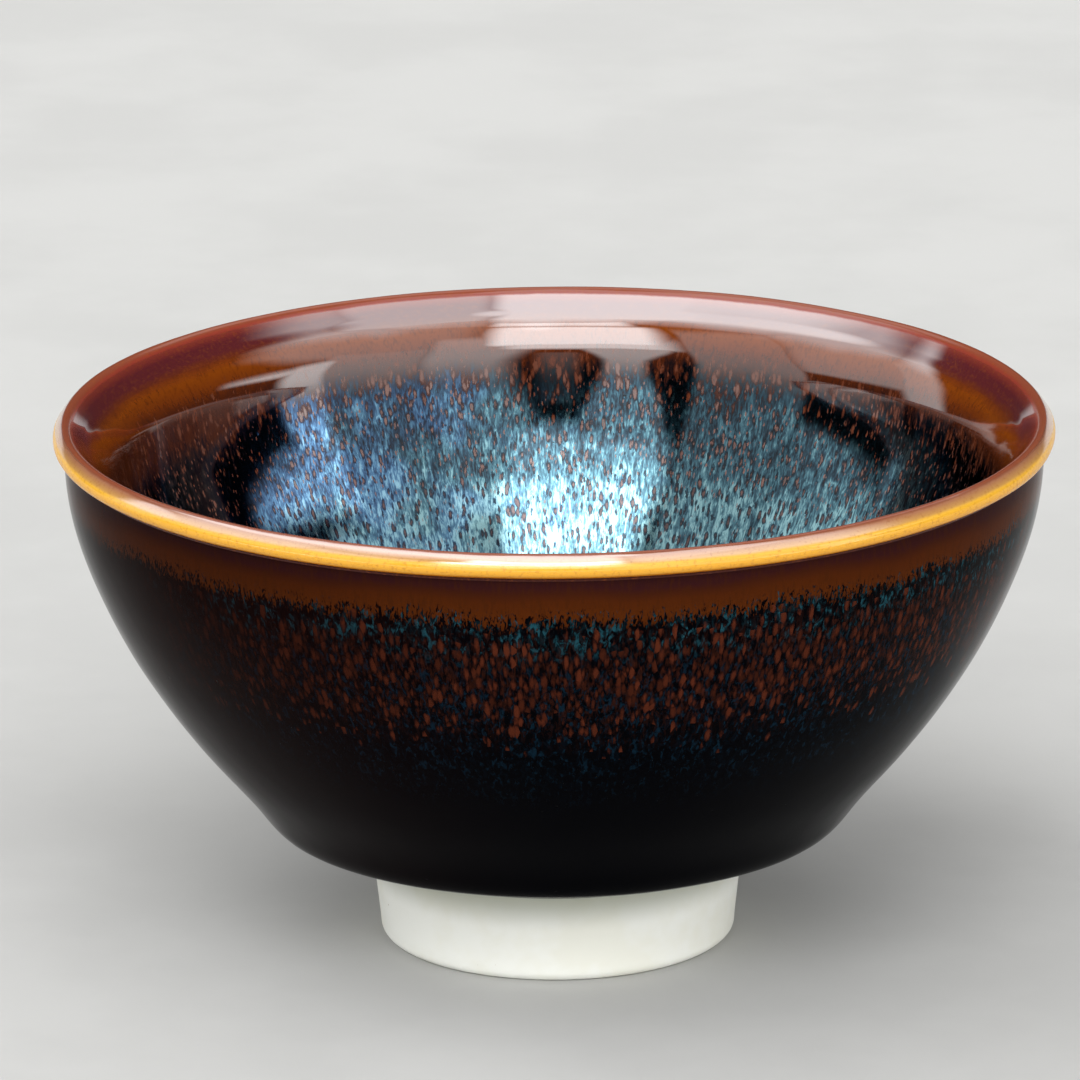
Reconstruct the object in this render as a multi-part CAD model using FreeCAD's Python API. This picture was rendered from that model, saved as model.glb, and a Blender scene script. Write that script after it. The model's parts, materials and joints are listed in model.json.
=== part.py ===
import FreeCAD, Part
import math
import os

# A footed tea bowl of white porcelain under a thick iron glaze, in millimetres. +Z is up, and
# the origin is the centre of the ring that the bowl stands on. Every piece is a half section
# turned round the Z axis, and pieces that touch share the same outline where they meet.

# Overall sizes
rim_diameter = 124.0
bowl_height = 66.7

# Foot, bare porcelain
foot_height = 12.25
foot_base_diameter = 43.9
foot_top_diameter = 46.2
foot_edge_round = 1.45
foot_ring_width = 5.2
foot_inside_round = 0.8
recess_depth = 8.0
recess_draft = 0.7
recess_corner_round = 2.0

# Body, the thrown porcelain under the glaze
neck_wall = 1.75
upper_wall = 3.0
hip_wall = 4.3
floor_thickness = 3.0
bare_margin = 0.4

# Lip, where the glaze gathers in a roll that stands out over the neck below it
lip_thickness = 3.0
lip_overhang = 1.5
lip_glaze = 0.7
neck_fillet = 0.6

# Glaze coats, with the bead that the outer one ends in beside the foot
outer_glaze = 0.5
inner_glaze = 0.5
bead_thickness = 0.8
pool_diameter = 40.0
pool_depth = 1.0

# The outside of the body from the neck down to the foot, as shares of the way out from the
# foot to the neck and of the way up. The wall swells, runs straight, turns sharply at the hip
# and comes in under the bowl.
wall_shares = (
    (0.999, 0.928),
    (0.968, 0.808),
    (0.895, 0.665),
    (0.793, 0.518),
    (0.663, 0.374),
    (0.532, 0.253),
)
hip_shares = (
    (0.418, 0.158),
    (0.363, 0.107),
    (0.336, 0.083),
    (0.319, 0.072),
    (0.272, 0.061),
    (0.185, 0.0415),
    (0.090, 0.020),
)

# The well inside, as shares of the radius and of the height where the wall above it ends
well_shares = (
    (0.780, 0.430),
    (0.555, 0.157),
    (0.290, 0.028),
)

# Where the rim of the body leaves the wall, as shares of a full turn round the lip's centre
rim_outside_share = -0.08
rim_inside_share = 0.42

# How far the pool's face has risen half way out to its edge, as a share of its whole rise
pool_rise_share = 0.25

# How long a bend holds the ways that it sets out and arrives, as a share of its span
bend_reach_share = 0.36

rim_radius = rim_diameter / 2
foot_base_radius = foot_base_diameter / 2
foot_top_radius = foot_top_diameter / 2
lip_radius = lip_thickness / 2
pool_radius = pool_diameter / 2

UP = FreeCAD.Vector(0, 0, 1)
INWARD = FreeCAD.Vector(-1, 0, 0)


def at(radius, height):
    """A place in the half section, by its distance from the axis and its height."""
    return FreeCAD.Vector(radius, 0, height)


def between(low_inner, high_outer, shares):
    """Places in the box that two corners make, by their shares of its width and height."""
    width = high_outer.x - low_inner.x
    height = high_outer.z - low_inner.z
    return [at(low_inner.x + out * width, low_inner.z + up * height) for out, up in shares]


def smooth(places):
    """One smooth curve through places."""
    curve = Part.BSplineCurve()
    curve.interpolate(Points=places)
    return curve


def over_axis(places):
    """One smooth curve down to the axis and up the other side, so that it is level there."""
    other_side = [at(-place.x, place.z) for place in reversed(places[:-1])]
    return smooth(places + other_side)


def first_half(curve):
    """The edge from the start of such a curve to the axis."""
    middle = (curve.FirstParameter + curve.LastParameter) / 2
    return curve.toShape(curve.FirstParameter, middle)


def bend(start, first_way, end, last_way):
    """An edge that sets out one way and arrives another, turning evenly between."""
    reach = (end - start).Length * bend_reach_share
    curve = Part.BezierCurve()
    curve.setPoles([start, start + first_way * reach, end - last_way * reach, end])
    return curve.toShape()


def line(start, end):
    """A straight edge of an outline."""
    return Part.LineSegment(start, end).toShape()


def arc(start, middle, end):
    """A round edge of an outline through three places."""
    return Part.Arc(start, middle, end).toShape()


def on_ring(centre, radius, turn_share):
    """The place on a circle after a share of a full turn from straight outwards."""
    turn = 2 * math.pi * turn_share
    return at(centre.x + radius * math.cos(turn), centre.z + radius * math.sin(turn))


def way_on_ring(turn_share):
    """The way that a circle runs at that share of a turn, outside to inside over the top."""
    turn = 2 * math.pi * turn_share
    return at(-math.sin(turn), math.cos(turn))


def offset_places(curve, places, distances, side):
    """Places at given distances square to a curve: side 1 is its left as it runs, -1 its right."""
    moved = []
    for place, distance in zip(places, distances):
        run = curve.tangent(curve.parameter(place))[0]
        moved.append(place + at(-run.z, run.x) * (side * distance))
    return moved


def rounded(before, corner, after, radius):
    """The start, middle and end of the arc that rounds a corner between two straight edges."""
    way_back = (before - corner).normalize()
    way_on = (after - corner).normalize()
    half_angle = way_back.getAngle(way_on) / 2
    inwards = (way_back + way_on).normalize()
    reach = radius / math.tan(half_angle)
    centre = corner + inwards * (radius / math.sin(half_angle))
    return corner + way_back * reach, centre - inwards * radius, corner + way_on * reach


def turned(edges):
    """The solid that a closed half section makes, turned once round the axis."""
    section = Part.Face(Part.Wire(edges))
    return section.revolve(FreeCAD.Vector(), UP)


# Neck and lip: the roll of glaze is round, and a small hollow curve joins it to the neck
lip_centre = at(rim_radius - lip_radius, bowl_height - lip_radius)
neck_radius = rim_radius - lip_overhang
hollow_radius = neck_radius + neck_fillet
hollow_reach = lip_radius + neck_fillet
hollow_drop = math.sqrt(hollow_reach ** 2 - (hollow_radius - lip_centre.x) ** 2)
hollow_centre = at(hollow_radius, lip_centre.z - hollow_drop)
neck_face = at(neck_radius, hollow_centre.z)
neck = at(neck_radius - outer_glaze, hollow_centre.z)

# Outside of the body, and the face of the glaze on it
foot_seat = at(foot_top_radius + bare_margin, foot_height)
wall_places = [neck] + between(foot_seat, neck, wall_shares)
under_places = between(foot_seat, neck, hip_shares) + [foot_seat]
outer_places = wall_places + under_places
outer_wall = smooth(outer_places)
coated_places = outer_places[1:]
coat_thicknesses = [outer_glaze] * (len(coated_places) - 1) + [bead_thickness]
outer_face_places = [neck_face] + offset_places(outer_wall, coated_places, coat_thicknesses, 1)
outer_face = smooth(outer_face_places)

# Inside of the body: thinned towards the lip, steadily thicker down to the hip, and a round well
upper_level = wall_places[1].z
hip_level = wall_places[-1].z
wall_thicknesses = [neck_wall] + [
    upper_wall + (hip_wall - upper_wall) * (upper_level - place.z) / (upper_level - hip_level)
    for place in wall_places[1:]
]
inner_wall_places = offset_places(outer_wall, wall_places, wall_thicknesses, -1)
floor_centre = at(0, foot_height + floor_thickness)
well_places = between(floor_centre, inner_wall_places[-1], well_shares)
inner_places = inner_wall_places + well_places + [floor_centre]
inner_wall = over_axis(inner_places)
inner_face_places = offset_places(inner_wall, inner_places, [inner_glaze] * len(inner_places), -1)
inner_face = over_axis(inner_face_places)

# Rim of the body, inside the roll of glaze, from the outside over the top to the inside
rim_round = lip_radius - lip_glaze
rim_outside = on_ring(lip_centre, rim_round, rim_outside_share)
rim_inside = on_ring(lip_centre, rim_round, rim_inside_share)
rim_top = on_ring(lip_centre, rim_round, (rim_outside_share + rim_inside_share) / 2)
inside_way = inner_wall.tangent(inner_wall.FirstParameter)[0]
rim_edges = [
    bend(neck, UP, rim_outside, way_on_ring(rim_outside_share)),
    arc(rim_outside, rim_top, rim_inside),
    bend(rim_inside, way_on_ring(rim_inside_share), inner_places[0], inside_way),
]


def make_bowl_body():
    """The thrown bowl: its flat seat for the foot, its wall, rim and well."""
    seat_centre = at(0, foot_height)
    return turned([
        outer_wall.toShape(),
        line(foot_seat, seat_centre),
        line(seat_centre, floor_centre),
        first_half(inner_wall),
        *rim_edges,
    ])


def make_foot_ring():
    """The foot: a ring that flares a little upwards, closed by a web that the bowl sits on."""
    top_centre = at(0, foot_height)
    top_edge = at(foot_top_radius, foot_height)
    base_edge = at(foot_base_radius, 0)
    inside_edge = at(foot_base_radius - foot_ring_width, 0)
    ceiling_edge = at(inside_edge.x - recess_draft, recess_depth)
    ceiling_centre = at(0, recess_depth)
    base_arc = rounded(top_edge, base_edge, inside_edge, foot_edge_round)
    inside_arc = rounded(base_edge, inside_edge, ceiling_edge, foot_inside_round)
    corner_arc = rounded(inside_edge, ceiling_edge, ceiling_centre, recess_corner_round)
    return turned([
        line(top_centre, top_edge),
        line(top_edge, base_arc[0]),
        arc(*base_arc),
        line(base_arc[2], inside_arc[0]),
        arc(*inside_arc),
        line(inside_arc[2], corner_arc[0]),
        arc(*corner_arc),
        line(corner_arc[2], ceiling_centre),
        line(ceiling_centre, top_centre),
    ])


def make_outer_glaze_coat():
    """The coat on the outside, from the neck to the bead that ends it just short of the foot."""
    bead_end = outer_face_places[-1]
    bead_middle = (foot_seat + bead_end) / 2 + INWARD * (bare_margin / 2)
    return turned([
        outer_wall.toShape(),
        arc(foot_seat, bead_middle, bead_end),
        outer_face.toShape(),
        line(neck_face, neck),
    ])


def make_inner_glaze_coat():
    """The coat on the inside, from the roll at the lip down to the middle of the well."""
    return turned([
        first_half(inner_wall),
        line(floor_centre, inner_face_places[-1]),
        first_half(inner_face),
        line(inner_face_places[0], inner_places[0]),
    ])


def make_lip_glaze_roll():
    """The roll of glaze round the rim, which runs into both coats."""
    hollow_end = hollow_centre + (lip_centre - hollow_centre).normalize() * neck_fillet
    hollow_way = (hollow_end - hollow_centre) + (neck_face - hollow_centre)
    hollow_middle = hollow_centre + hollow_way.normalize() * neck_fillet
    roll_top = at(lip_centre.x, bowl_height)
    roll_inside = on_ring(lip_centre, lip_radius, rim_inside_share)
    return turned([
        line(neck, neck_face),
        arc(neck_face, hollow_middle, hollow_end),
        arc(hollow_end, roll_top, roll_inside),
        bend(roll_inside, way_on_ring(rim_inside_share), inner_face_places[0], inside_way),
        line(inner_face_places[0], inner_places[0]),
        *reversed(rim_edges),
    ])


def make_well_glaze_pool():
    """The pool of glaze that ran down into the well, slightly hollow on top like a level drop."""
    upright = Part.LineSegment(at(pool_radius, 0), at(pool_radius, bowl_height))
    edge_place = inner_face.intersectCC(upright)[0]
    edge = at(edge_place.X, edge_place.Z)
    bottom_centre = inner_face_places[-1]
    top_centre = bottom_centre + UP * pool_depth
    rise = edge.z - top_centre.z
    half_way = at(pool_radius / 2, top_centre.z + pool_rise_share * rise)
    bottom = inner_face.toShape(inner_face.parameter(edge), inner_face.parameter(bottom_centre))
    top = smooth([edge, half_way, top_centre]).toShape()
    return turned([bottom, line(bottom_centre, top_centre), top])


PIECES = {
    "bowl_body": make_bowl_body,
    "foot_ring": make_foot_ring,
    "outer_glaze_coat": make_outer_glaze_coat,
    "inner_glaze_coat": make_inner_glaze_coat,
    "lip_glaze_roll": make_lip_glaze_roll,
    "well_glaze_pool": make_well_glaze_pool,
}

os.makedirs("parts", exist_ok=True)
for name, make in PIECES.items():
    solid = make()
    solid.exportStep(f"parts/{name}.step")
    print(name, solid.ShapeType, solid.isValid(), round(solid.Volume, 1))
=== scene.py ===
import json
import logging
import math
from dataclasses import dataclass
from enum import Enum
from typing import Sequence, Union

import bpy
import numpy
from mathutils import Matrix, Vector

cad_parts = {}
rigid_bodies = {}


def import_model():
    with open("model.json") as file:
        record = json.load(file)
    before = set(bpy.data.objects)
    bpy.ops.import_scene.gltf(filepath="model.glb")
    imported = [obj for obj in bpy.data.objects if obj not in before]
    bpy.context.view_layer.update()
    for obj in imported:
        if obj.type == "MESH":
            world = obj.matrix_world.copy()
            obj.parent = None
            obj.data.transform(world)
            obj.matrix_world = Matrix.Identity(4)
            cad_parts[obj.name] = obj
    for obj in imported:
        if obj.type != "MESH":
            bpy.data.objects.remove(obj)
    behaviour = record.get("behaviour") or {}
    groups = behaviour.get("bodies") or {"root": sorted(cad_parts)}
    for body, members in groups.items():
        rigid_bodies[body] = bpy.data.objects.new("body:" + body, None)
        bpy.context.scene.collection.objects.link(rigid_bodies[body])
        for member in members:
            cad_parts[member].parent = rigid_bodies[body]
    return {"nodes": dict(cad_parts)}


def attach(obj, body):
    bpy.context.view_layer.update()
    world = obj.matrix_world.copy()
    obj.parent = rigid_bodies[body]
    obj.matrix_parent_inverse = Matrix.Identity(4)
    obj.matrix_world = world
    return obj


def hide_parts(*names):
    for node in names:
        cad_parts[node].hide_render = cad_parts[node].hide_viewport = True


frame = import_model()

# The looks of a footed tea bowl: white porcelain under a thick iron glaze that breaks to amber
# at the lip and runs down the walls in flecks and streaks. Sections are written in millimetres
# as (radius, height), and the meshes are made in metres round the Z axis, where the CAD is.

MM = 0.001
FULL_TURN = 2 * math.pi
SMOOTH_ANGLE = math.radians(35)
ARC_STEP = 15.0
SEAM_GAP = 0.002
ON_RUN = 0.01
COAT_STEP = 0.6
CLAY_STEP = 2.4

Place = tuple[float, float]
Span = tuple[float, float]
Paint = tuple[float, float, float, float]
Piece = bpy.types.Object
Material = bpy.types.Material
Tree = bpy.types.NodeTree
Socket = bpy.types.NodeSocket
Value = Union[float, Sequence[float], Socket]
Feeds = dict[Union[str, int], Value]
Stops = tuple[tuple[float, Paint], ...]

log = logging.getLogger("tea_bowl")


class Slot(Enum):
    """The record's material slots."""

    PORCELAIN = "porcelain"
    DARK = "dark_glaze"
    STREAKED = "streaked_glaze"
    AMBER = "amber_glaze"


class Effect(Enum):
    """The effects that finishes share, each a node group."""

    STREAKS = "glaze_streaks"
    FLECKS = "glaze_flecks"
    SKIN = "glaze_skin"
    GRAIN = "porcelain_grain"


# ---------------------------------------------------------------- sections


def smooth_run(keys: Sequence[Place], step: float, to_axis: bool = False) -> list[Place]:
    """Places at even steps along one smooth curve through key places.

    Args:
        keys: Key places, in order.
        step: Wanted distance between places, in millimetres.
        to_axis: Whether the last key is on the axis, where the curve has to lie level.

    Returns:
        The places, from the first key to the last.
    """
    points = numpy.array(keys, float)
    if to_axis:
        points = numpy.vstack([points, points[-2:-5:-1] * (-1, 1)])
    spans = numpy.linalg.norm(numpy.diff(points, axis=0), axis=1)
    marks = numpy.concatenate([[0.0], numpy.cumsum(spans)])
    count = len(points)
    system = numpy.eye(count)
    right = numpy.zeros((count, 2))
    for i in range(1, count - 1):
        system[i, i - 1:i + 2] = spans[i - 1], 2 * (spans[i - 1] + spans[i]), spans[i]
        slope_on = (points[i + 1] - points[i]) / spans[i]
        slope_back = (points[i] - points[i - 1]) / spans[i - 1]
        right[i] = 6 * (slope_on - slope_back)
    bends = numpy.linalg.solve(system, right)
    end_mark = marks[len(keys) - 1]
    steps = max(2, round(end_mark / step))
    run = []
    for mark in numpy.linspace(0, end_mark, steps + 1):
        i = min(int(numpy.searchsorted(marks, mark, side="right")) - 1, count - 2)
        span, on, left = spans[i], mark - marks[i], marks[i + 1] - mark
        place = (bends[i] * left ** 3 + bends[i + 1] * on ** 3) / (6 * span)
        place += (points[i] / span - bends[i] * span / 6) * left
        place += (points[i + 1] / span - bends[i + 1] * span / 6) * on
        run.append((float(place[0]), float(place[1])))
    run[0], run[-1] = tuple(keys[0]), tuple(keys[-1])
    return run


def arc_keys(start: Place, from_angle: float, arcs: Sequence[Span]) -> list[Place]:
    """Key places along arcs that follow each other smoothly, one for each 15 degrees or so.

    Args:
        start: Where the first arc starts.
        from_angle: The way that the surface faces there, in degrees up from straight outwards.
        arcs: For each arc the way that it faces at its end, in degrees, and its radius.

    Returns:
        The places, the start among them, a few for each arc.
    """
    keys, angle = [start], from_angle
    for to_angle, radius in arcs:
        count = max(2, round(abs(to_angle - angle) / ARC_STEP))
        for i in range(1, count + 1):
            before = math.radians(angle + (to_angle - angle) * (i - 1) / count)
            after = math.radians(angle + (to_angle - angle) * i / count)
            last = keys[-1]
            keys.append((
                last[0] + radius * (math.cos(after) - math.cos(before)),
                last[1] + radius * (math.sin(after) - math.sin(before)),
            ))
        angle = to_angle
    return keys


@dataclass(frozen=True)
class Hand:
    """How uneven the maker's hand and the flowing glaze leave a face.

    Attributes:
        size: How far apart the swells are, in millimetres.
        depth: How far they move the face, in millimetres.
        middle: The share of the pattern that leaves the face where it is.
    """

    size: float
    depth: float
    middle: float = 0.5


def spin(name: str, outline: Sequence[Place], facets: int) -> Piece:
    """Draws an outline point by point in edit mode and spins it once round the axis.

    Args:
        name: The piece's name.
        outline: The half section, either closed or from the axis to the axis.
        facets: The number of facets round the axis.

    Returns:
        The piece, at the origin, with its seam and its poles closed.
    """
    bpy.ops.object.select_all(action="DESELECT")
    piece = bpy.data.objects.new(name, bpy.data.meshes.new(name))
    bpy.context.scene.collection.objects.link(piece)
    bpy.context.view_layer.objects.active = piece
    piece.select_set(True)
    bpy.ops.object.mode_set(mode="EDIT")
    first = Vector((outline[0][0], 0, outline[0][1])) * MM
    bpy.ops.mesh.primitive_plane_add(size=MM, location=first)
    bpy.ops.mesh.merge(type="CENTER")
    for before, after in zip(outline, outline[1:]):
        move = Vector((after[0] - before[0], 0, after[1] - before[1])) * MM
        bpy.ops.mesh.extrude_region_move(TRANSFORM_OT_translate={"value": move})
    bpy.ops.mesh.select_all(action="SELECT")
    bpy.ops.mesh.spin(steps=facets, angle=FULL_TURN, center=(0, 0, 0), axis=(0, 0, 1))
    bpy.ops.mesh.select_all(action="SELECT")
    bpy.ops.mesh.remove_doubles(threshold=SEAM_GAP * MM)
    bpy.ops.mesh.normals_make_consistent(inside=False)
    bpy.ops.object.mode_set(mode="OBJECT")
    return piece


def reach_of(piece: Piece, run: Sequence[Place], ends: float) -> bpy.types.VertexGroup:
    """Marks how freely each vertex may move: fully on a run, less towards its ends, else not.

    Args:
        piece: The piece whose vertices are marked.
        run: The visible run of its outline.
        ends: How far from the run's ends the freedom grows to full, in millimetres.

    Returns:
        The vertex group.
    """
    flat = numpy.array(run, float)
    spans = numpy.linalg.norm(numpy.diff(flat, axis=0), axis=1)
    marks = numpy.concatenate([[0.0], numpy.cumsum(spans)])
    on_axis = flat[-1, 0] < ends
    room = marks if on_axis else numpy.minimum(marks, marks[-1] - marks)
    freedom = numpy.clip(room / ends, 0, 1)
    group = piece.vertex_groups.new(name="face")
    for vertex in piece.data.vertices:
        place = (math.hypot(vertex.co.x, vertex.co.y) / MM, vertex.co.z / MM)
        gaps = numpy.abs(flat - place).sum(axis=1)
        nearest = int(gaps.argmin())
        if gaps[nearest] < ON_RUN and freedom[nearest] > 0:
            share = float(freedom[nearest])
            group.add([vertex.index], share * share * (3 - 2 * share), "REPLACE")
    return group


def make_uneven(piece: Piece, run: Sequence[Place], hand: Hand, ends: float) -> None:
    """Moves the visible run of a piece in and out by a soft irregular pattern.

    Args:
        piece: The piece.
        run: The visible run of its outline.
        hand: How uneven it gets.
        ends: How far from the run's ends the pattern grows to full, in millimetres.
    """
    group = piece.vertex_groups.get("face") or reach_of(piece, run, ends)
    swells = bpy.data.textures.new(f"{piece.name}_swells_{hand.size:g}", type="CLOUDS")
    swells.noise_scale = hand.size * MM
    swells.noise_depth = 1
    bpy.context.view_layer.objects.active = piece
    modifier = piece.modifiers.new("swells", "DISPLACE")
    modifier.texture = swells
    modifier.texture_coords = "LOCAL"
    modifier.vertex_group = group.name
    modifier.strength = hand.depth * MM
    modifier.mid_level = hand.middle
    bpy.ops.object.modifier_apply(modifier=modifier.name)


def finish_piece(piece: Piece, material: Material, node: str) -> None:
    """Shades a piece, gives it its finish and says what it stands for.

    Args:
        piece: The finished mesh.
        material: Its material.
        node: The CAD node that it replaces.
    """
    bpy.ops.object.select_all(action="DESELECT")
    piece.select_set(True)
    bpy.context.view_layer.objects.active = piece
    bpy.ops.object.shade_smooth_by_angle(angle=SMOOTH_ANGLE)
    piece.vertex_groups.clear()
    piece.data.materials.clear()
    piece.data.materials.append(material)
    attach(piece, "root")
    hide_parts(node)
    log.info("%s: %d faces for %s", piece.name, len(piece.data.polygons), node)


# ---------------------------------------------------------------- finishes


def paint(red: float, green: float, blue: float) -> Paint:
    """A colour as a shader takes it.

    Args:
        red: Its red as a screen shows it, from 0 to 255.
        green: Its green.
        blue: Its blue.

    Returns:
        Its linear red, green and blue, and full cover.
    """
    shares = [channel / 255 for channel in (red, green, blue)]
    linear = [s / 12.92 if s <= 0.04045 else ((s + 0.055) / 1.055) ** 2.4 for s in shares]
    return linear[0], linear[1], linear[2], 1.0


class Recipe:
    """A node tree under way, with a method for each kind of step that the finishes need."""

    def __init__(self, tree: Tree) -> None:
        """Starts on an empty tree."""
        self.tree = tree
        self.column = 0

    def step(
        self, kind: str, feeds: Feeds | None = None, **settings: object
    ) -> bpy.types.Node:
        """Adds a node.

        Args:
            kind: The node's type, without its leading ShaderNode.
            feeds: Sockets or plain values for its inputs, by name or place.
            settings: Its own settings.

        Returns:
            The node.
        """
        node = self.tree.nodes.new("ShaderNode" + kind)
        node.location = (200 * self.column, -60 * (self.column % 5))
        self.column += 1
        for name, value in settings.items():
            setattr(node, name, value)
        for name, value in (feeds or {}).items():
            self.feed(node.inputs[name], value)
        return node

    def feed(self, socket: Socket, value: Value) -> None:
        """Links a socket to another, or sets it to a plain value.

        Args:
            socket: The input.
            value: What it gets.
        """
        if isinstance(value, Socket):
            self.tree.links.new(value, socket)
        else:
            socket.default_value = value

    def math(self, operation: str, *values: Value, clamp: bool = False) -> Socket:
        """The result of a sum on numbers."""
        node = self.step("Math", dict(enumerate(values)), operation=operation, use_clamp=clamp)
        return node.outputs[0]

    def times(self, first: Value, *others: Value, clamp: bool = False) -> Socket:
        """The product of numbers."""
        for other in others:
            first = self.math("MULTIPLY", first, other, clamp=clamp)
        return first

    def vector(self, operation: str, *values: Value) -> Socket:
        """The result of a sum on vectors, a number where the sum is a length."""
        node = self.step("VectorMath", dict(enumerate(values)), operation=operation)
        return node.outputs["Value" if operation == "LENGTH" else "Vector"]

    def fade(self, value: Value, start: Value, end: Value) -> Socket:
        """A soft change from 0 at one value to 1 at another."""
        feeds = {"Value": value, "From Min": start, "From Max": end}
        return self.step("MapRange", feeds, interpolation_type="SMOOTHSTEP").outputs["Result"]

    def range(self, value: Value, low: float, high: float) -> Socket:
        """A number from 0 to 1 spread between two others."""
        feeds = {"Value": value, "To Min": low, "To Max": high}
        return self.step("MapRange", feeds).outputs["Result"]

    def zone(self, value: Value, rise: Span, fall: Span) -> Socket:
        """A soft zone: 0 before it, 1 within and 0 after.

        Args:
            value: The number that says where a point is.
            rise: Where it starts, and where it is full.
            fall: Where it ends, and up to where it is full.

        Returns:
            The share of the zone.
        """
        return self.times(self.fade(value, *rise), self.fade(value, *fall))

    def noise(
        self, place: Value, scale: float = 1.0, detail: float = 2.0, roughness: float = 0.5,
        twist: float = 0.0,
    ) -> Socket:
        """A cloudy pattern, around one half.

        Args:
            place: The place on the piece.
            scale: How many clouds there are in a unit of length.
            detail: How many times the clouds hold smaller ones.
            roughness: How strong the smaller ones are.
            twist: How far the clouds are drawn out of shape.

        Returns:
            The pattern.
        """
        feeds = {
            "Vector": place, "Scale": scale, "Detail": detail, "Roughness": roughness,
            "Distortion": twist,
        }
        return self.step("TexNoise", feeds).outputs[0]

    def blend(self, share: Value, first: Value, second: Value) -> Socket:
        """A colour between two others."""
        node = self.step("Mix", {0: share, 6: first, 7: second}, data_type="RGBA")
        return node.outputs[2]

    def between(self, share: Value, first: Value, second: Value) -> Socket:
        """A number between two others."""
        node = self.step("Mix", {0: share, 2: first, 3: second}, data_type="FLOAT")
        return node.outputs[0]

    def bands(self, value: Value, stops: Stops) -> Socket:
        """Colours that follow each other as a number grows.

        Args:
            value: The number.
            stops: The numbers, in order, and the colours that they get.

        Returns:
            The colour.
        """
        low, high = stops[0][0], stops[-1][0]
        feeds = {"Value": value, "From Min": low, "From Max": high}
        share = self.step("MapRange", feeds).outputs["Result"]
        node = self.step("ValToRGB", {"Fac": share})
        ramp = node.color_ramp
        while len(ramp.elements) < len(stops):
            ramp.elements.new(0.5)
        for element, (number, colour) in zip(ramp.elements, stops):
            element.position = (number - low) / (high - low)
        for element, (number, colour) in zip(ramp.elements, stops):
            element.color = colour
        return node.outputs["Color"]

    def group(self, effect: Effect, **feeds: Value) -> bpy.types.Node:
        """Places a shared effect.

        Args:
            effect: The effect, which has been made before.
            feeds: Its values here, by name.

        Returns:
            The node.
        """
        node = self.step("Group", node_tree=bpy.data.node_groups[effect.value])
        for name, value in feeds.items():
            self.feed(node.inputs[name], value)
        return node

    def streaks(self, **feeds: Value) -> Socket:
        """The shared streaks, with their values here by name."""
        return self.group(Effect.STREAKS, **feeds).outputs[0]

    def place(self) -> Socket:
        """The place on the piece, in millimetres."""
        return self.vector("MULTIPLY", self.step("TexCoord").outputs["Object"], (1000,) * 3)

    def height(self) -> Socket:
        """The height on the piece, in millimetres."""
        return self.step("SeparateXYZ", {0: self.place()}).outputs["Z"]

    def side(self) -> Socket:
        """How far to the right of the axis a place is, in millimetres."""
        return self.step("SeparateXYZ", {0: self.place()}).outputs["X"]

    def across(self) -> Socket:
        """The place as seen from above, in millimetres."""
        return self.vector("MULTIPLY", self.place(), (1, 1, 0))

    def drifted(self, height: Value, scale: float, swing: float) -> Socket:
        """A height that wanders up and down round the piece, in millimetres.

        Args:
            height: The true height.
            scale: How many swings there are in a millimetre.
            swing: How far apart its highest and lowest are.

        Returns:
            The height by which the glaze is painted.
        """
        drift = self.noise(self.place(), scale)
        return self.math("SUBTRACT", self.math("MULTIPLY_ADD", drift, swing, height), swing / 2)

    def cells(self, place: Value, scale: float) -> tuple[Socket, list[Socket]]:
        """A pattern of cells.

        Args:
            place: The place on the piece.
            scale: How many cells there are in a unit of length.

        Returns:
            The distance to the middle of each cell, and three numbers by chance for it.
        """
        found = self.step("TexVoronoi", {"Vector": place, "Scale": scale}).outputs
        chance = self.step("SeparateColor", {0: found["Color"]}).outputs
        return found["Distance"], list(chance)


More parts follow.
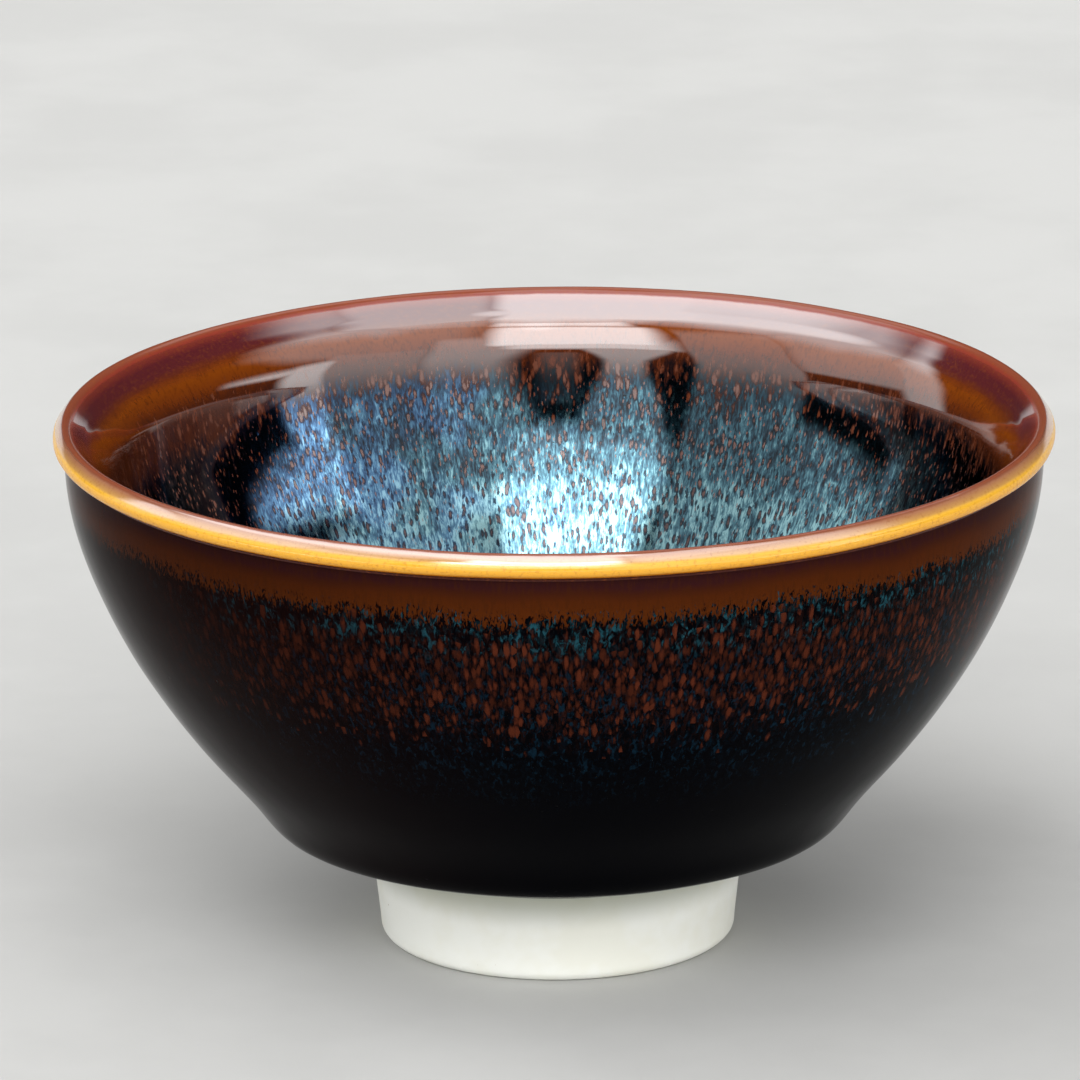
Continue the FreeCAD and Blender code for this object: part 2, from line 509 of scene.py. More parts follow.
class Effects:
    """Makes the shared effects.

    Attributes:
        WALL_RADIUS: The radius where marks have their true width, in millimetres.
        FALL_PER_HEIGHT: How fast the way down the wall grows with height.
        FALL_PER_RADIUS: How fast it grows with the radius.
    """

    WALL_RADIUS = 57.0
    FALL_PER_HEIGHT = 0.78
    FALL_PER_RADIUS = 0.77

    def make(self) -> None:
        """Makes all the groups."""
        self.make_streaks()
        self.make_flecks()
        self.make_skin()
        self.make_grain()

    def start(
        self, effect: Effect, inputs: dict[str, float], outputs: Sequence[str]
    ) -> tuple[Recipe, bpy.types.Node, bpy.types.Node]:
        """Starts a group.

        Args:
            effect: The effect that it makes.
            inputs: Its numbers and their usual values.
            outputs: Its results.

        Returns:
            The recipe, the node with its inputs and the node with its outputs.
        """
        tree = bpy.data.node_groups.new(effect.value, "ShaderNodeTree")
        number = "NodeSocketFloat"
        for name, usual in inputs.items():
            socket = tree.interface.new_socket(name=name, in_out="INPUT", socket_type=number)
            socket.default_value = usual
        for name in outputs:
            tree.interface.new_socket(name=name, in_out="OUTPUT", socket_type=number)
        recipe = Recipe(tree)
        return recipe, tree.nodes.new("NodeGroupInput"), tree.nodes.new("NodeGroupOutput")

    def run_place(self, recipe: Recipe, wide: Value, long: Value, shift: Value) -> Value:
        """The place along and across the way that the glaze ran, in lengths of its marks.

        Args:
            recipe: The recipe that needs it.
            wide: How wide the marks are near the lip, in millimetres.
            long: How long they are, in millimetres.
            shift: Any number, to set patterns apart.

        Returns:
            The place, for a pattern whose marks are one unit in size.
        """
        across = recipe.across()
        radius = recipe.vector("LENGTH", across)
        ring = recipe.vector("NORMALIZE", across)
        arc = recipe.math("DIVIDE", self.WALL_RADIUS, wide)
        ring = recipe.step("VectorMath", {0: ring, 3: arc}, operation="SCALE").outputs[0]
        fall = recipe.times(recipe.height(), self.FALL_PER_HEIGHT)
        fall = recipe.math("MULTIPLY_ADD", radius, self.FALL_PER_RADIUS, fall)
        fall = recipe.math("ADD", recipe.math("DIVIDE", fall, long), shift)
        fall = recipe.step("CombineXYZ", {2: fall}).outputs[0]
        return recipe.vector("ADD", ring, fall)

    def make_streaks(self) -> None:
        """Fine streaks down the slope."""
        inputs = {"Wide": 0.5, "Long": 4.0, "Shift": 0.0, "From": 0.5, "To": 0.6}
        recipe, given, result = self.start(Effect.STREAKS, inputs, ["Mask"])
        value = given.outputs
        place = self.run_place(recipe, value["Wide"], value["Long"], value["Shift"])
        fine = recipe.noise(place, 1.0, 3.0, 0.6, 0.9)
        recipe.feed(result.inputs["Mask"], recipe.fade(fine, value["From"], value["To"]))

    def make_flecks(self) -> None:
        """Drops of another colour, drawn out as the glaze ran, some of them rings."""
        inputs = {"Wide": 1.2, "Long": 3.4, "Shift": 0.0, "Size": 0.4, "Soft": 0.1}
        outputs = ["Mask", "Halo", "Core", "Tone"]
        recipe, given, result = self.start(Effect.FLECKS, inputs, outputs)
        value = given.outputs
        place = self.run_place(recipe, value["Wide"], value["Long"], value["Shift"])
        wobble = recipe.noise(place, 1.9, 3.0, 0.65)
        distance, chance = recipe.cells(place, 1.0)
        distance = recipe.math("MULTIPLY_ADD", wobble, 0.9, distance)
        distance = recipe.math("SUBTRACT", distance, 0.45)
        size = recipe.times(value["Size"], recipe.range(chance[0], 0.5, 1.25))
        edge = recipe.math("SUBTRACT", size, value["Soft"])
        halo = recipe.math("ADD", size, 0.16)
        core = recipe.fade(distance, recipe.times(size, 0.42), 0.0)
        ringed = recipe.fade(chance[1], 0.55, 0.6)
        recipe.feed(result.inputs["Mask"], recipe.fade(distance, size, edge))
        recipe.feed(result.inputs["Halo"], recipe.fade(distance, halo, size))
        recipe.feed(result.inputs["Core"], recipe.times(core, ringed))
        recipe.feed(result.inputs["Tone"], chance[2])

    def make_skin(self) -> None:
        """The soft unevenness and the pinholes of a fired glaze, as a height in millimetres."""
        inputs = {"Swell": 0.02, "Ripple": 0.004, "Pinhole": 0.03}
        recipe, given, result = self.start(Effect.SKIN, inputs, ["Height"])
        place = recipe.place()
        swell = recipe.noise(place, 0.16, 2.0, 0.4)
        ripple = recipe.noise(place, 0.9, 2.0, 0.5)
        distance, chance = recipe.cells(place, 0.32)
        pit = recipe.fade(distance, 0.075, 0.03)
        pit = recipe.times(pit, recipe.fade(chance[0], 0.86, 0.88))
        height = recipe.times(swell, given.outputs["Swell"])
        height = recipe.math("MULTIPLY_ADD", ripple, given.outputs["Ripple"], height)
        pit = recipe.times(pit, given.outputs["Pinhole"])
        recipe.feed(result.inputs["Height"], recipe.math("SUBTRACT", height, pit))

    def make_grain(self) -> None:
        """The fine grain, turning lines and specks of bare porcelain."""
        inputs = {"Lines": 0.012, "Grain": 0.006}
        recipe, given, result = self.start(Effect.GRAIN, inputs, ["Cloud", "Speck", "Height"])
        place = recipe.place()
        cloud = recipe.noise(place, 0.13, 3.0, 0.6)
        grain = recipe.noise(place, 4.5, 2.0, 0.7)
        stretched = recipe.vector("MULTIPLY", place, (0.05, 0.05, 2.2))
        lines = recipe.noise(stretched, 1.0, 3.0, 0.6)
        distance, chance = recipe.cells(place, 0.9)
        speck = recipe.fade(distance, 0.13, 0.07)
        speck = recipe.times(speck, recipe.fade(chance[0], 0.975, 0.98))
        height = recipe.times(lines, given.outputs["Lines"])
        height = recipe.math("MULTIPLY_ADD", grain, given.outputs["Grain"], height)
        recipe.feed(result.inputs["Cloud"], cloud)
        recipe.feed(result.inputs["Speck"], speck)
        recipe.feed(result.inputs["Height"], height)


def start_finish(name: str) -> tuple[Material, Recipe]:
    """Starts a finish.

    Args:
        name: The material's name.

    Returns:
        The material, and the recipe for its nodes.
    """
    material = bpy.data.materials.new(name)
    material.use_nodes = True
    material.node_tree.nodes.clear()
    return material, Recipe(material.node_tree)


def close_finish(recipe: Recipe, height: Value, feeds: Feeds) -> None:
    """Ends a finish with its shader.

    Args:
        recipe: The recipe so far.
        height: The height of its surface, in millimetres.
        feeds: What its shader gets.
    """
    bump = recipe.step("Bump", {"Height": height, "Distance": MM, "Strength": 1.0})
    shader = recipe.step("BsdfPrincipled", {**feeds, "Normal": bump.outputs[0]})
    output = recipe.step("OutputMaterial")
    recipe.feed(output.inputs["Surface"], shader.outputs[0])


@dataclass(frozen=True)
class AmberEdge:
    """Amber glaze down to a ragged edge, where it breaks in teeth into what lies below.

    Attributes:
        height: The height of the edge, in millimetres.
        teeth: How far its teeth reach, in millimetres.
        tooth: How wide and how long a tooth is, in millimetres.
        soft: How soft the edge is, as a share of its teeth.
        drift: How many swings the edge makes in a millimetre, and how far apart its highest
            and its lowest place are.
        mottle: The darker colour that mottles the amber, and its share.
        marks: How wide and long the marks of it are, what sets them apart from other
            streaks, and from where they show.
        stops: Colours of the amber, by height.
    """

    height: float
    teeth: float
    tooth: Span
    soft: float
    drift: Span
    mottle: tuple[Paint, float]
    marks: tuple[float, float, float, float]
    stops: Stops

    def make(self, recipe: Recipe) -> tuple[Socket, Socket, Socket]:
        """Works out the amber and its edge.

        Args:
            recipe: The recipe of the finish.

        Returns:
            The wandering height, the share of what lies below the edge, and the amber.
        """
        level = recipe.drifted(recipe.height(), *self.drift)
        wide, long = self.tooth
        ragged = recipe.streaks(Wide=wide, Long=long, Shift=3.0, From=0.3, To=0.7)
        depth = recipe.math("DIVIDE", recipe.math("SUBTRACT", self.height, level), self.teeth)
        depth = recipe.math("ADD", depth, recipe.range(ragged, -1.0, 1.0))
        wide, long, shift, shown = self.marks
        mottle = recipe.streaks(Wide=wide, Long=long, Shift=shift, From=shown, To=0.7)
        mottled = recipe.times(mottle, self.mottle[1])
        amber = recipe.blend(mottled, recipe.bands(level, self.stops), self.mottle[0])
        return level, recipe.fade(depth, 0.0, self.soft), amber


@dataclass(frozen=True)
class BarePorcelain:
    """Unglazed white porcelain, smooth from the turning tool, with a painted green-grey shadow
    atop the foot.

    Attributes:
        white: Its colour.
        warm: Its colour in places.
        speck: The colour of its few specks.
        shaded: The colour of the painted shadow that the bowl casts on the foot, just below the
            glaze.
        shade_heights: The heights, in millimetres, where that painted shadow starts and where it
            is full.
        shade_share: The share of the painted shadow's colour where it is full.
    """

    white: Paint = paint(247, 248, 241)
    warm: Paint = paint(243, 243, 232)
    speck: Paint = paint(190, 182, 164)
    shaded: Paint = paint(150, 154, 134)
    shade_heights: Span = (6.5, 11.5)
    shade_share: float = 0.75

    def make(self) -> Material:
        """The material."""
        material, recipe = start_finish("bare_porcelain")
        grain = recipe.group(Effect.GRAIN)
        share = recipe.fade(grain.outputs["Cloud"], 0.4, 0.65)
        colour = recipe.blend(share, self.white, self.warm)
        colour = recipe.blend(grain.outputs["Speck"], colour, self.speck)
        # Painted shade: the bowl's shadow on the foot, greener and darker towards the glaze
        # above.
        painted_shade = recipe.fade(recipe.height(), *self.shade_heights)
        painted_shade = recipe.times(painted_shade, self.shade_share)
        colour = recipe.blend(painted_shade, colour, self.shaded)
        roughness = recipe.range(grain.outputs["Cloud"], 0.42, 0.6)
        close_finish(recipe, grain.outputs["Height"], {
            "Base Color": colour, "Roughness": roughness, "IOR": 1.45,
            "Specular IOR Level": 0.35,
        })
        return material


@dataclass(frozen=True)
class StreakedGlaze:
    """The inside: amber under the lip, then crystal streaks and rust drops over black.

    Attributes:
        edge: The amber above and its ragged edge.
        rust: The colour of the drops.
        salmon: The colour of the palest drops.
        core: The colour of the middle of the drops that are rings.
        drops_grow: The heights from which and to which the drops grow, in millimetres.
        drop_size: Their sizes below and above, as a share of their cells.
        drops_fade: The heights from which and to which they get rarer.
        black: The ground between the crystals.
        brown: The ground in the upper part.
        brown_from: The heights from which and to which the ground turns brown.
        crystals_end: The heights from which and to which the crystals grow from none to all.
        crystals_gather: The heights from which and to which they lie thicker.
        bare_side: How far to the right of the axis they start and are full, in millimetres.
        sheen: The heights from which and to which the flare's full sheen sets in, and the
            share of it below.
        dull: The heights from which and to which the sheen ends, and the share that is left.
        blues: Colours of the crystals on one side of the bowl, by how thick they lie.
        teals: Their colours on the other side.
    """

    edge: AmberEdge = AmberEdge(
        height=60.1, teeth=1.7, tooth=(0.36, 1.1), soft=0.6, drift=(0.08, 2.0),
        mottle=(paint(78, 31, 6), 0.55), marks=(0.5, 1.2, 57.0, 0.45), stops=(
            (57.5, paint(54, 20, 7)),
            (59.5, paint(82, 34, 11)),
            (60.8, paint(110, 48, 9)),
            (62.4, paint(128, 60, 7)),
            (63.2, paint(120, 52, 12)),
            (64.0, paint(94, 32, 26)),
        ),
    )
    rust: Paint = paint(102, 47, 24)
    salmon: Paint = paint(112, 64, 46)
    core: Paint = paint(48, 24, 20)
    drops_grow: Span = (52.0, 59.5)
    drop_size: Span = (0.30, 0.46)
    drops_fade: Span = (47.0, 41.0)
    black: Paint = paint(5, 5, 8)
    brown: Paint = paint(74, 32, 15)
    brown_from: Span = (50.5, 56.5)
    crystals_end: Span = (61.0, 53.0)
    crystals_gather: Span = (49.0, 41.0)
    bare_side: Span = (-43.0, -34.0)
    sheen: tuple[Span, float] = ((62.2, 63.6), 0.44)
    dull: tuple[Span, float] = ((59.6, 55.5), 0.08)
    blues: Stops = (
        (0.0, paint(5, 5, 8)),
        (0.25, paint(21, 34, 56)),
        (0.5, paint(41, 70, 102)),
        (0.75, paint(71, 111, 143)),
        (1.0, paint(124, 166, 186)),
    )
    teals: Stops = (
        (0.0, paint(5, 5, 7)),
        (0.25, paint(19, 34, 45)),
        (0.5, paint(37, 66, 80)),
        (0.75, paint(68, 108, 121)),
        (1.0, paint(126, 166, 172)),
    )

    def make(self) -> Material:
        """The material."""
        material, recipe = start_finish("streaked_glaze_inside")
        level, below, amber = self.edge.make(recipe)
        size = recipe.range(recipe.fade(level, *self.drops_grow), *self.drop_size)
        drops = recipe.group(Effect.FLECKS, Wide=0.8, Long=1.9, Shift=5.0, Size=size, Soft=0.26)
        small = recipe.group(Effect.FLECKS, Wide=0.5, Long=1.2, Shift=9.0, Size=0.26, Soft=0.14)
        rust = recipe.math("MAXIMUM", drops.outputs["Mask"], small.outputs["Mask"])
        rarer = recipe.range(recipe.fade(level, *self.drops_fade), 1.0, 0.45)
        rust = recipe.times(rust, below, rarer)
        warm = recipe.blend(drops.outputs["Tone"], self.rust, self.salmon)
        warm = recipe.blend(drops.outputs["Core"], warm, self.core)

        lie = self.thickness(recipe, level)
        lie = recipe.times(lie, recipe.fade(level, *self.crystals_end), clamp=True)
        clear = recipe.range(drops.outputs["Halo"], 1.0, 0.3)
        kept = recipe.range(recipe.fade(recipe.side(), *self.bare_side), 0.2, 1.0)
        lie = recipe.times(lie, clear, kept)
        upper = recipe.fade(level, *self.brown_from)
        ground = recipe.blend(upper, self.black, self.brown)
        crystal = recipe.fade(lie, 0.0, recipe.range(upper, 0.12, 0.3))
        cool = recipe.blend(crystal, ground, self.tint(recipe, lie))

        colour = recipe.blend(below, amber, cool)
        colour = recipe.blend(rust, colour, warm)
        metal = recipe.times(crystal, below, recipe.math("SUBTRACT", 1.0, rust))
        (heights, least), (low_heights, left) = self.sheen, self.dull
        gloss = recipe.range(recipe.fade(level, *heights), least, 1.0)
        gloss = recipe.between(recipe.fade(level, *low_heights), gloss, left)
        gloss = recipe.between(rust, gloss, 0.36)
        skin = recipe.group(Effect.SKIN)
        close_finish(recipe, skin.outputs["Height"], {
            "Base Color": colour, "Metallic": metal, "Roughness": 0.09, "IOR": 1.4,
            "Specular Tint": (0.04, 0.04, 0.05, 1.0),
            "Coat Weight": gloss, "Coat Roughness": 0.03, "Coat IOR": 2.9,
        })
        return material

    def thickness(self, recipe: Recipe, level: Value) -> Socket:
        """How thick the crystals lie, in streaks down the slope and more in the lower half.

        Args:
            recipe: The recipe of the finish.
            level: The height, in millimetres.

        Returns:
            Their thickness, around 0 where there are none and 1 where they are thickest.
        """
        fine = recipe.streaks(Wide=0.4, Long=1.6, Shift=11.0, From=0.3, To=0.72)
        broad = recipe.streaks(Wide=1.3, Long=3.0, Shift=21.0, From=0.32, To=0.68)
        patch = recipe.noise(recipe.place(), 0.3, 2.0, 0.5)
        lie = recipe.math("MULTIPLY_ADD", fine, 0.5, -0.14)
        lie = recipe.math("MULTIPLY_ADD", broad, 0.34, lie)
        lie = recipe.math("MULTIPLY_ADD", patch, 0.5, lie)
        gather = recipe.fade(level, *self.crystals_gather)
        return recipe.math("MULTIPLY_ADD", gather, 0.3, lie)

    def tint(self, recipe: Recipe, lie: Value) -> Socket:
        """The colour of the crystals, bluer to the left and greener to the right.

        Args:
            recipe: The recipe of the finish.
            lie: How thick they lie.

        Returns:
            The colour.
        """
        side = recipe.math("DIVIDE", recipe.side(), 90.0)
        hue = recipe.math("ADD", recipe.noise(recipe.place(), 0.16, 2.0, 0.6), side)
        hue = recipe.fade(hue, 0.12, 0.52)
        return recipe.blend(hue, recipe.bands(lie, self.blues), recipe.bands(lie, self.teals))


@dataclass(frozen=True)
class PooledGlaze:
    """The pool in the well: the coat's streaks drown in deep blue-black glass.

    Attributes:
        coat: The finish whose streaks run into it.
        black: The colour of its depth.
        blue: The colour of clouds in its depth.
        rust: The colour of the drops that float in it.
        swing: How far its dark middle wanders in and out, in millimetres.
        drowned: The radii, that swing among them, where streaks start to show and are full.
    """

    coat: StreakedGlaze = StreakedGlaze()
    black: Paint = paint(4, 6, 13)
    blue: Paint = paint(12, 30, 58)
    rust: Paint = paint(70, 32, 18)
    swing: float = 12.0
    drowned: Span = (15.0, 26.0)

    def make(self) -> Material:
        """The material."""
        material, recipe = start_finish("pooled_glaze_in_well")
        place = recipe.place()
        radius = recipe.vector("LENGTH", recipe.across())
        wander = recipe.noise(place, 0.25, 3.0, 0.6)
        reach = recipe.math("MULTIPLY_ADD", wander, self.swing, radius)
        shown = recipe.fade(reach, *self.drowned)
        lie = self.coat.thickness(recipe, recipe.height())
        lie = recipe.times(lie, shown, clamp=True)
        crystal = recipe.fade(lie, 0.0, 0.12)
        cloud = recipe.noise(place, 0.5, 4.0, 0.62, 1.2)
        deep = recipe.blend(recipe.fade(cloud, 0.42, 0.66), self.black, self.blue)
        distance, chance = recipe.cells(place, 0.8)
        rare = recipe.fade(chance[0], 0.7, 0.72)
        drops = recipe.fade(distance, 0.34, 0.2)
        drops = recipe.times(drops, rare, recipe.range(shown, 0.3, 1.0))
        colour = recipe.blend(crystal, deep, self.coat.tint(recipe, lie))
        colour = recipe.blend(drops, colour, self.rust)
        metal = recipe.times(crystal, recipe.math("SUBTRACT", 1.0, drops))
        skin = recipe.group(Effect.SKIN, Swell=0.03)
        close_finish(recipe, skin.outputs["Height"], {
            "Base Color": colour, "Metallic": metal, "Roughness": 0.09, "IOR": 1.15,
            "Coat Weight": recipe.between(crystal, 0.25, 0.08), "Coat Roughness": 0.02,
            "Coat IOR": 1.5,
        })
        return material


@dataclass(frozen=True)
class DarkGlaze:
    """The outside: maroon at the neck, amber, a ragged edge, flecks, then near black.

    Attributes:
        edge: The amber above and its ragged edge.
        black: The ground below the edge.
        rust: The colour of the brightest flecks.
        dark_rust: The colour of the darkest flecks.
        dim_rust: The colour of the dashes between them.
        flecks: The heights where the flecks start and are full, and where they end.
        teal: The colour of the veins close to the edge.
        teal_top: The heights from which and to which these grow to full.
        faint_teal: The colour of the veins further down.
        teal_low: The heights where those start and are full, and where they end.
        left_shade: The colour of the painted shade that darkens the left side.
        left_shade_side: How far to the right of the axis that painted shade starts and is full,
            in millimetres.
    """

    edge: AmberEdge = AmberEdge(
        height=58.6, teeth=1.5, tooth=(0.32, 0.9), soft=0.5, drift=(0.07, 2.4),
        mottle=(paint(56, 25, 7), 0.6), marks=(0.4, 1.6, 13.0, 0.42), stops=(
            (56.5, paint(44, 17, 3)),
            (58.4, paint(72, 32, 7)),
            (60.6, paint(66, 28, 7)),
            (61.6, paint(54, 22, 11)),
            (62.3, paint(46, 18, 19)),
            (63.4, paint(42, 17, 19)),
        ),
    )
    black: Paint = paint(1, 1, 3)
    rust: Paint = paint(76, 34, 20)
    dark_rust: Paint = paint(48, 20, 11)
    dim_rust: Paint = paint(34, 14, 8)
    flecks: tuple[Span, Span] = ((38.0, 50.5), (58.6, 51.5))
    teal: Paint = paint(26, 66, 76)
    teal_top: Span = (51.5, 56.5)
    faint_teal: Paint = paint(8, 29, 42)
    teal_low: tuple[Span, Span] = ((29.0, 42.0), (57.0, 48.0))
    left_shade: Paint = paint(14, 2, 1)
    left_shade_side: Span = (0.0, -56.0)

    def make(self) -> Material:
        """The material."""
        material, recipe = start_finish("dark_glaze_outside")
        place = recipe.place()
        level, below, amber = self.edge.make(recipe)
        drops = recipe.group(Effect.FLECKS, Wide=0.68, Long=1.8, Shift=5.0, Size=0.66, Soft=0.52)
        dashes = recipe.streaks(Wide=0.5, Long=1.5, Shift=29.0, From=0.44, To=0.64)
        patchy = recipe.range(recipe.noise(place, 0.22, 2.0, 0.6), 0.8, 1.6)
        rusty = recipe.zone(level, *self.flecks)
        rusty = recipe.times(rusty, patchy, clamp=True)
        kept = recipe.math("LESS_THAN", drops.outputs["Tone"], rusty)
        rust = recipe.times(drops.outputs["Mask"], kept, below)
        warm = recipe.blend(drops.outputs["Tone"], self.rust, self.dark_rust)

        veins = recipe.streaks(Wide=0.7, Long=1.2, Shift=19.0, From=0.44, To=0.66)
        gap = recipe.range(drops.outputs["Halo"], 1.0, 0.15)
        veins = recipe.times(veins, gap)
        faint = recipe.times(veins, recipe.zone(level, *self.teal_low))
        patch = recipe.fade(recipe.noise(place, 0.45, 2.0, 0.6), 0.3, 0.5)
        near_edge = recipe.times(recipe.fade(level, *self.teal_top), patch)
        bright = recipe.times(veins, near_edge)

        dim = recipe.times(dashes, rusty)
        colour = recipe.blend(dim, self.black, self.dim_rust)
        colour = recipe.blend(below, amber, colour)
        colour = recipe.blend(recipe.times(faint, below), colour, self.faint_teal)
        colour = recipe.blend(recipe.times(bright, below), colour, self.teal)
        colour = recipe.blend(rust, colour, warm)
        # Painted shade: darker towards the left side, full below the amber edge and half as
        # strong above it.
        left_shade = recipe.fade(recipe.side(), *self.left_shade_side)
        left_shade = recipe.times(left_shade, recipe.range(below, 0.5, 1.0))
        colour = recipe.blend(left_shade, colour, self.left_shade)
        skin = recipe.group(Effect.SKIN)
        close_finish(recipe, skin.outputs["Height"], {
            "Base Color": colour, "Roughness": 0.13, "IOR": 1.07,
        })
        return material


@dataclass(frozen=True)
class AmberGlaze:
    """The roll on the lip: honey yellow outside, salmon on the crest, maroon inside.

    Attributes:
        centre: The middle of the roll in its section, in millimetres.
        swing: How far its colours wander, in degrees round that middle.
        shiny: Where the sheen of the crest sets in and is full, in degrees up from straight
            outwards, and the share of it below.
        under: Where the sheen on the underside sets in and is full.
        brown_crest: Where the duller top of the crest starts and is full, and where it ends.
        mottle: The colour that mottles it, and its share.
        stops: Colours by the place round the middle, in degrees up from straight outwards.
    """

    centre: Place = (60.6, 65.1)
    swing: float = 10.0
    shiny: tuple[Span, float] = ((13.0, 33.0), 0.13)
    under: Span = (-72.0, -40.0)
    brown_crest: tuple[Span, Span] = ((76.0, 86.0), (150.0, 136.0))
    mottle: tuple[Paint, float] = (paint(150, 78, 20), 0.35)
    stops: Stops = (
        (-110.0, paint(58, 26, 27)),
        (-82.0, paint(70, 30, 18)),
        (-62.0, paint(170, 92, 18)),
        (-36.0, paint(222, 156, 36)),
        (12.0, paint(224, 170, 54)),
        (30.0, paint(206, 154, 84)),
        (70.0, paint(172, 116, 86)),
        (82.0, paint(134, 72, 50)),
        (122.0, paint(134, 66, 46)),
        (135.0, paint(140, 56, 42)),
        (168.0, paint(112, 40, 36)),
        (182.0, paint(92, 30, 36)),
        (201.0, paint(92, 32, 34)),
        (206.0, paint(102, 40, 22)),
        (212.0, paint(120, 52, 12)),
    )

    def make(self) -> Material:
        """The material."""
        material, recipe = start_finish("amber_glaze_lip")
        place = recipe.place()
        radius = recipe.vector("LENGTH", recipe.across())
        out = recipe.math("SUBTRACT", radius, self.centre[0])
        up = recipe.math("SUBTRACT", recipe.height(), self.centre[1])
        facing = recipe.math("DEGREES", recipe.math("ARCTAN2", up, out))
        inside = recipe.math("LESS_THAN", facing, -120.0)
        facing = recipe.math("MULTIPLY_ADD", inside, 360.0, facing)
        drift = recipe.noise(place, 0.25, 3.0, 0.55)
        facing = recipe.math("MULTIPLY_ADD", drift, self.swing, facing)
        facing = recipe.math("SUBTRACT", facing, self.swing / 2)
        shiny, least = self.shiny
        gloss = recipe.range(recipe.fade(facing, *shiny), least, 1.0)
        crest = recipe.range(recipe.zone(facing, *self.brown_crest), 1.0, 0.15)
        gloss = recipe.times(gloss, recipe.fade(facing, *self.under), crest)
        mottle = recipe.fade(recipe.noise(place, 2.2, 3.0, 0.65), 0.5, 0.72)
        mottle = recipe.times(mottle, self.mottle[1])
        colour = recipe.blend(mottle, recipe.bands(facing, self.stops), self.mottle[0])
        skin = recipe.group(Effect.SKIN, Swell=0.006, Ripple=0.002)
        close_finish(recipe, skin.outputs["Height"], {
            "Base Color": colour, "Roughness": 0.2, "IOR": 1.4, "Coat Weight": gloss,
            "Coat Roughness": 0.03, "Coat IOR": 2.9, "Specular IOR Level": 0.2,
        })
        return material


# ---------------------------------------------------------------- sub-assemblies


@dataclass
class Turned:
    """A piece that is spun from a half section, made uneven by hand and given its finish.

    Attributes:
        name: Its name.
        node: The CAD node that it stands for.
        slot: The record's slot that its finish belongs to. It is not used.
        hands: How uneven the maker's hand and the glaze leave its face.
        ends: How far from the ends of the face that grows to full, in millimetres.
        facets: The number of facets round the axis.
    """

    name: str
    node: str
    slot: Slot
    hands: tuple[Hand, ...]
    ends: float = 4.0
    facets: int = 256

    def face(self) -> list[Place]:
        """The run of the section that is seen."""
        raise NotImplementedError

    def back(self) -> list[Place]:
        """The rest of the section, on from the end of the face."""
        raise NotImplementedError

    def outline(self) -> list[Place]:
        """The closed half section."""
        face = self.face()
        return [*face, *self.back(), face[0]]

    def carve(self, piece: Piece) -> None:
        """Leaves the marks of a tool, on a piece that has any."""

    def make(self, material: Material) -> Piece:
        """Spins the piece and dresses it.

        Args:
            material: Its finish.

        Returns:
            The piece.
        """
        piece = spin(self.name, self.outline(), self.facets)
        self.carve(piece)
        for hand in self.hands:
            make_uneven(piece, self.face(), hand, self.ends)
        finish_piece(piece, material, self.node)
        return piece


@dataclass
class Foot(Turned):
    """The turned foot: a ring that flares a little upwards, closed by a web under the bowl.

    Attributes:
        swell: How far the outside stands out halfway up, and at what height.
        inside_facing: The way that the rounding inside faces at its end, in degrees.
        corner_draft: The share of the recess's draft that its wall has at the corner.
        ceiling: Radii of places on the ceiling of the recess.
        groove_fade: How far from the corner the spiral grows to full.
        steps: Distances between places on the outside, the rounding, the wall and the
            ceiling.
    """

    name: str = "turned_foot_ring"
    node: str = "foot_ring"
    slot: Slot = Slot.PORCELAIN
    hands: tuple[Hand, ...] = (Hand(9.0, 0.05),)
    ends: float = 3.0
    height: float = 12.25
    base_radius: float = 21.95
    top_radius: float = 23.1
    swell: Span = (0.5, 6.2)
    ring_width: float = 5.2
    edge_round: float = 1.45
    inside_round: float = 0.8
    inside_facing: float = 184.0
    recess_depth: float = 8.0
    recess_draft: float = 0.7
    corner_draft: float = 0.8
    corner_round: float = 2.0
    ceiling: tuple[float, ...] = (11.0, 7.0, 3.0, 0.0)
    groove_spacing: float = 2.6
    groove_depth: float = 0.12
    groove_fade: float = 2.0
    steps: tuple[float, float, float, float] = (0.35, 0.25, 0.8, 0.5)

    def face(self) -> list[Place]:
        """The outside of the ring, from its top to the face that it stands on."""
        lean = (self.top_radius - self.base_radius) / self.height
        top = (self.top_radius, self.height)
        low = (self.base_radius + lean * self.edge_round, self.edge_round)
        middle = (low[0] + self.swell[0], self.swell[1])
        under = (self.base_radius - self.edge_round, 0.0)
        corner = arc_keys(low, -lean, ((-90.0, self.edge_round),))[1:-1]
        return smooth_run([top, middle, low, *corner, under], self.steps[0])

    def back(self) -> list[Place]:
        """The inside of the ring and the ceiling of the recess, to the axis."""
        edge = self.base_radius - self.ring_width
        start = (edge + self.inside_round, 0.0)
        rounding = arc_keys(start, 270.0, ((self.inside_facing, self.inside_round),))
        top = self.recess_depth - self.corner_round
        wall = (edge - self.recess_draft * self.corner_draft, top)
        bend = arc_keys(wall, 0.0, ((90.0, self.corner_round),))[1:]
        bend = [(2 * wall[0] - radius, height) for radius, height in bend]
        ceiling = [(radius, self.recess_depth) for radius in self.ceiling]
        return [
            *smooth_run(rounding, self.steps[1]),
            *smooth_run([rounding[-1], wall], self.steps[2])[1:],
            *smooth_run([*bend, *ceiling], self.steps[3]),
        ]

    def outline(self) -> list[Place]:
        """The half section, from the top of the web on the axis to the recess on the axis."""
        return [(0.0, self.height), *self.face(), *self.back()]

    def carve(self, piece: Piece) -> None:
        """Cuts the shallow spiral of the turning tool into the ceiling of the recess.

        Args:
            piece: The spun foot.
        """
        reach = self.base_radius - self.ring_width - self.recess_draft - self.corner_round
        under_web = (self.recess_depth + self.height) / 2 * MM
        for vertex in piece.data.vertices:
            radius = math.hypot(vertex.co.x, vertex.co.y) / MM
            if radius < reach and vertex.co.z < under_web:
                turn = math.atan2(vertex.co.y, vertex.co.x) / FULL_TURN
                turns = radius / self.groove_spacing - turn
                cut = 0.5 + 0.5 * math.cos(FULL_TURN * turns)
                room = min((reach - radius) / self.groove_fade, radius / self.groove_spacing)
                vertex.co.z += self.groove_depth * cut * min(1.0, max(0.0, room)) * MM


